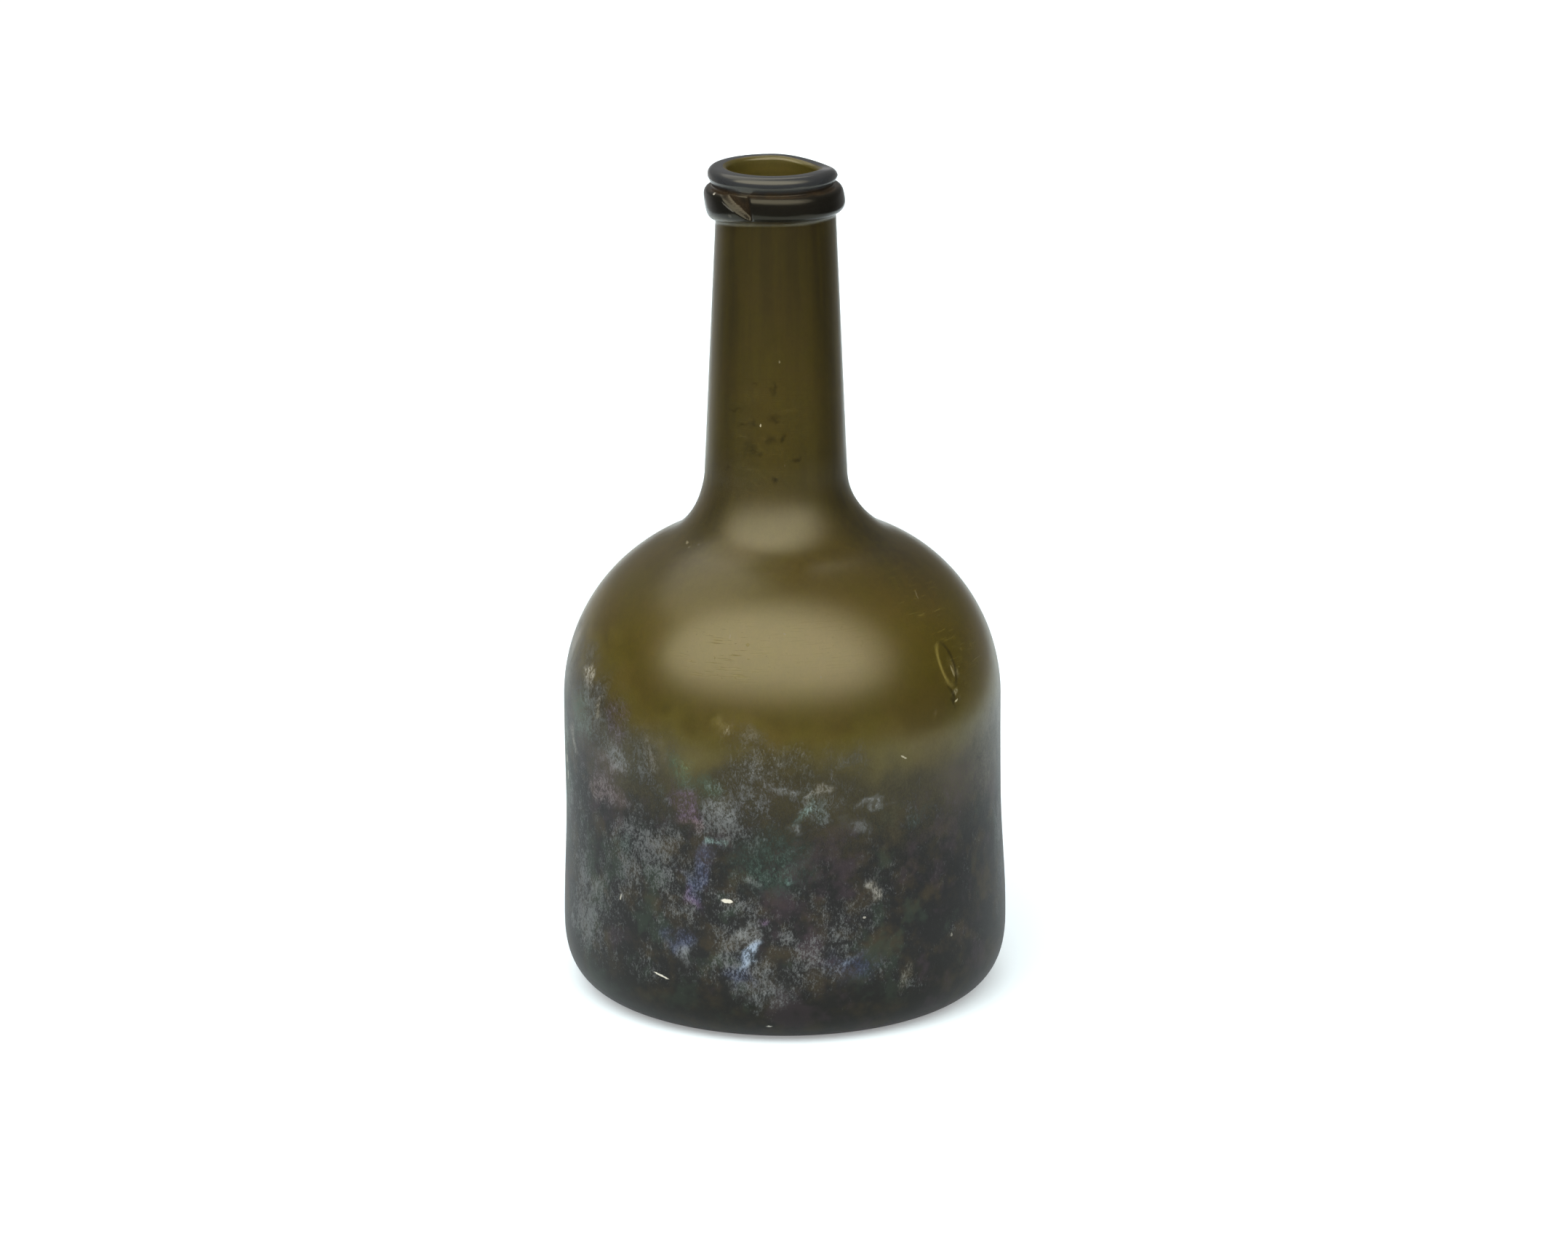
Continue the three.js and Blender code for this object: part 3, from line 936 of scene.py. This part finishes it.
def crust_cover(n, fine, burial):
    """How much of the glass the crust covers, which is ragged where it ends."""
    ragged = n.times(n.math("SUBTRACT", fine, RAGGED_MIDDLE), RAGGED_REACH)
    thin = n.without(burial, burial)
    return n.math("ADD", burial, n.times(ragged, n.times(thin, RAGGED_THIN)), True)


def crust_colour(n, noises, level):
    """The crust's colour: dark, with browner, greener and purpler clouds, and darkened towards black at the
    heel as painted shade under the bottle.
    """
    colour = n.mix(n.step(noises.cloud, *BROWN_BAND), DARK_CRUST, BROWN_CRUST)
    colour = n.mix(n.step(noises.hue, *PURPLE_BAND), colour, PURPLE_CRUST)
    colour = n.mix(n.step(noises.hue, *GREEN_BAND), colour, GREEN_CRUST)
    return n.mix(n.step(level, *HEEL_SHADE_BAND), colour, BLACK)


def crust_grains(n, fine, grain, burial):
    """Grains of silver-grey crust, denser where the grain is stronger."""
    level = n.math("SUBTRACT", GRAIN_LEVEL, n.times(grain, GRAIN_GROWTH))
    grains = n.step(n.math("SUBTRACT", fine, level), *GRAIN_BAND)
    return n.times(grains, n.step(burial, *BURIED_BAND))


def wear_marks(n, place, wear):
    """Hairlines and pits in the bare glass."""
    hair = n.noise(n.stretch(place, HAIR_STRETCH), HAIR)
    pit = n.noise(place, PIT)
    return n.most(n.times(n.step(hair, *HAIR_BAND), wear), n.times(n.step(pit, *PIT_BAND), wear))


def bare_colour(n, place, noises, rim, level):
    """The glass's colour: deeper up the neck with painted shade down its sides, faintly streaked along it,
    black at the string rim and grey-blue on the lip's top, a painted reflection.
    """
    streak = n.noise(n.stretch(place, STREAK_STRETCH), STREAK)
    depth_and_shade = n.times(rim, n.step(streak, *STREAK_BAND))
    colour = n.mix(n.step(noises.hue, *WARM_BAND), OLIVE, WARM_OLIVE)
    colour = n.mix(n.step(noises.fine, *CLOUDED_BAND), colour, HAZE_OLIVE)
    colour = n.mix(depth_and_shade, colour, DEEP_OLIVE)
    # Painted reflection: the lip's top is laid grey-blue over the black of the string rim
    rim_colour = n.mix(n.step(level, *LIP_BAND), RIM_BLACK, LIP_GREY_REFLECTION)
    return n.mix(n.step(rim, *RIM_BAND), colour, rim_colour)


def bruise(n, place):
    """The bruise's light crescent and the shade behind it."""
    azimuth, height, *shape = BRUISE
    outer = n.spot(place, azimuth, height, *shape)
    inner = n.spot(place, azimuth + BRUISE_SHIFT, height, *shape)
    return n.without(outer, inner), n.without(inner, outer)


def glass_roughness(n, hidden, drag, rim, level):
    rough = n.step(hidden, 0.0, 1.0, GLASS_ROUGHNESS, CRUST_ROUGHNESS)
    rough = n.math("ADD", rough, n.times(drag, DRAG_ROUGHNESS))
    rough = n.math("SUBTRACT", rough, n.step(rim, *RIM_BAND, 0.0, RIM_POLISH))
    root = n.times(n.step(level, *ROOT_BEGINS), n.step(level, *ROOT_ENDS, 1.0, 0.0))
    return n.math("ADD", rough, n.times(root, ROOT_ROUGHNESS))


def glass_material():
    material = bpy.data.materials.new("olive_glass")
    material.use_nodes = True
    tree = material.node_tree
    n = Nodes(tree)
    shader = tree.nodes["Principled BSDF"]
    place = tree.nodes.new("ShaderNodeTexCoord").outputs["Object"]
    split = tree.nodes.new("ShaderNodeSeparateXYZ")
    n.put(split.inputs[0], place)
    level = split.outputs["Z"]
    # The depth of colour, with the painted shade on the neck, is read here as rim
    names = ("burial", "grain", "wear", "grime", "depth_and_shade")
    burial, grain, wear, grime, rim = (n.attribute(name).outputs["Fac"] for name in names)
    tint = n.attribute("tint")
    noises = shared_noises(n, place)

    crust = crust_cover(n, noises.fine, burial)
    grains = crust_grains(n, noises.fine, grain, burial)
    marks = wear_marks(n, place, wear)
    stains = n.math("MINIMUM", tint.outputs["Alpha"], 1.0)
    stains = n.times(stains, n.step(noises.fine, *STAIN_BAND))
    shaken = n.shaken(place, *FLAKE_SHAKE)
    blurred = n.shaken(place, *SMUDGE_SHAKE)
    flakes = n.most(0.0, *(n.times(n.spot(shaken, *shape), strength) for *shape, strength in FLAKES))
    smudges = n.most(0.0, *(n.spot(blurred, *shape, core=0.0) for shape in SMUDGES))
    crescent, behind = bruise(n, shaken)

    colour = bare_colour(n, place, noises, rim, level)
    for share, laid in (
        (n.times(marks, MARK_SHARE), BROWN_CRUST),
        (n.step(burial, *HAZE_BAND), HAZE_OLIVE),
        (n.step(crust, *CRUST_BAND), crust_colour(n, noises, level)),
        (n.times(stains, STAIN_SHARE), tint.outputs["Color"]),
        (n.times(grains, n.step(grain, *GRAIN_SHARE_BAND)), SILVER),
        (n.times(smudges, SMUDGE_SHARE), BLACK),
        (flakes, CHALK),
        (n.times(crescent, CRESCENT_SHARE), CRESCENT),
        (n.times(behind, BEHIND_SHARE), BROWN_CRUST),
        (n.times(grime, n.step(noises.grit, *EARTH_BAND)), EARTH),
    ):
        colour = n.mix(share, colour, laid)
    n.put(shader.inputs["Base Color"], colour)

    hidden = n.most(
        crust,
        n.times(stains, STAIN_COVER),
        n.times(grains, GRAIN_COVER),
        grime,
        n.times(marks, MARK_COVER),
        n.step(flakes, *FLAKE_BAND),
        n.times(crescent, CRESCENT_COVER),
        n.step(rim, *RIM_BAND, 0.0, RIM_COVER),
    )
    clear = n.times(n.math("SUBTRACT", 1.0, hidden, True), CLEAR_SHARE)
    n.put(shader.inputs["Transmission Weight"], clear)
    n.put(shader.inputs["Roughness"], glass_roughness(n, hidden, noises.drag, rim, level))
    sheen = n.step(n.most(hidden, burial), *SHEEN_BAND, GLASS_SHEEN, CRUST_SHEEN)
    sheen = n.math("ADD", sheen, n.step(level, *LIP_BAND, 0.0, LIP_SHEEN))
    n.put(shader.inputs["Specular IOR Level"], sheen)
    n.put(shader.inputs["Specular Tint"], WARM_SHEEN)
    n.put(shader.inputs["IOR"], REFRACTIVE_INDEX)

    gritty = n.times(n.times(noises.grit, crust), GRIT_RELIEF)
    relief = n.math("ADD", n.times(grains, GRAIN_RELIEF), gritty)
    relief = n.math("SUBTRACT", relief, n.times(marks, MARK_RELIEF))
    bump = tree.nodes.new("ShaderNodeBump")
    n.put(bump.inputs["Strength"], BUMP_STRENGTH)
    n.put(bump.inputs["Distance"], BUMP_DEPTH)
    n.put(bump.inputs["Height"], relief)
    n.put(shader.inputs["Normal"], bump.outputs[0])

    absorption = tree.nodes.new("ShaderNodeVolumeAbsorption")
    n.put(absorption.inputs["Color"], ABSORBED)
    n.put(absorption.inputs["Density"], ABSORPTION)
    n.put(tree.nodes["Material Output"].inputs["Volume"], absorption.outputs[0])
    return material


def make_floor():
    bpy.ops.mesh.primitive_plane_add(size=2, location=(0, 0, 0))
    floor = bpy.context.object
    floor.name = "floor"
    floor.scale = (FLOOR_HALF_WIDTH, (FLOOR_BACK - FLOOR_FRONT) / 2, 1)
    floor.location = (0, (FLOOR_BACK + FLOOR_FRONT) / 2, -FLOOR_DROP)
    paper = bpy.data.materials.new("paper")
    paper.use_nodes = True
    n = Nodes(paper.node_tree)
    shader = paper.node_tree.nodes["Principled BSDF"]
    n.put(shader.inputs["Base Color"], PAPER)
    n.put(shader.inputs["Roughness"], PAPER_ROUGHNESS)
    n.put(shader.inputs["Emission Color"], WHITE)
    n.put(shader.inputs["Emission Strength"], PAPER_GLOW)
    floor.data.materials.append(paper)


def make_surroundings():
    world = bpy.data.worlds.new("studio")
    bpy.context.scene.world = world
    world.use_nodes = True
    tree = world.node_tree
    n = Nodes(tree)
    background = tree.nodes["Background"]
    way = tree.nodes.new("ShaderNodeTexCoord").outputs["Generated"]
    split = tree.nodes.new("ShaderNodeSeparateXYZ")
    n.put(split.inputs[0], way)
    overhead = n.step(split.outputs["Z"], *OVERHEAD_BAND, 0.0, OVERHEAD_REACH)
    behind = n.math("ADD", split.outputs["Y"], overhead)
    behind = n.step(behind, *BACK_BAND, FRONT_LIGHT, BACK_LIGHT)
    above = n.step(split.outputs["Z"], *HORIZON_BAND, FLOOR_SHARE, ROOM_SHARE)
    beside = n.step(split.outputs["X"], *SIDE_BAND, LEFT_SHARE, RIGHT_SHARE)
    around = n.times(n.times(behind, beside), above)
    seen = tree.nodes.new("ShaderNodeLightPath").outputs["Is Camera Ray"]
    n.put(background.inputs["Strength"], n.most(around, n.times(seen, BACKDROP_LIGHT)))
    n.put(background.inputs["Color"], WHITE)


def studio():
    """A pale floor, white surroundings behind and beside the bottle, a dimmer front, and soft boxes."""
    make_floor()
    make_surroundings()
    for name, place, size, power in SOFT_BOXES:
        soft_box(name, place, size, power, SOFT_BOX_AIM)
    back = soft_box(*BACK_BOX, BACK_BOX_AIM)
    back.data.spread = BACK_BOX_SPREAD


def soft_box(name, place, size, power, aim):
    light = bpy.data.lights.new(name, "AREA")
    light.shape = "ELLIPSE"
    light.size, light.size_y = size
    light.energy = power
    light.color = WARM_WHITE
    lamp = bpy.data.objects.new(name, light)
    lamp.location = place
    lamp.rotation_euler = (Vector(aim) - lamp.location).to_track_quat("-Z", "Y").to_euler()
    bpy.context.scene.collection.objects.link(lamp)
    return lamp


camera()
bottle = make_bottle()
bottle.data.materials.append(glass_material())
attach(bottle, "root")
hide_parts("bottle")
studio()

scene = bpy.context.scene
scene.view_settings.view_transform = "Standard"
scene.cycles.use_denoising = True
scene.cycles.max_bounces = BOUNCES
scene.cycles.transmission_bounces = BOUNCES
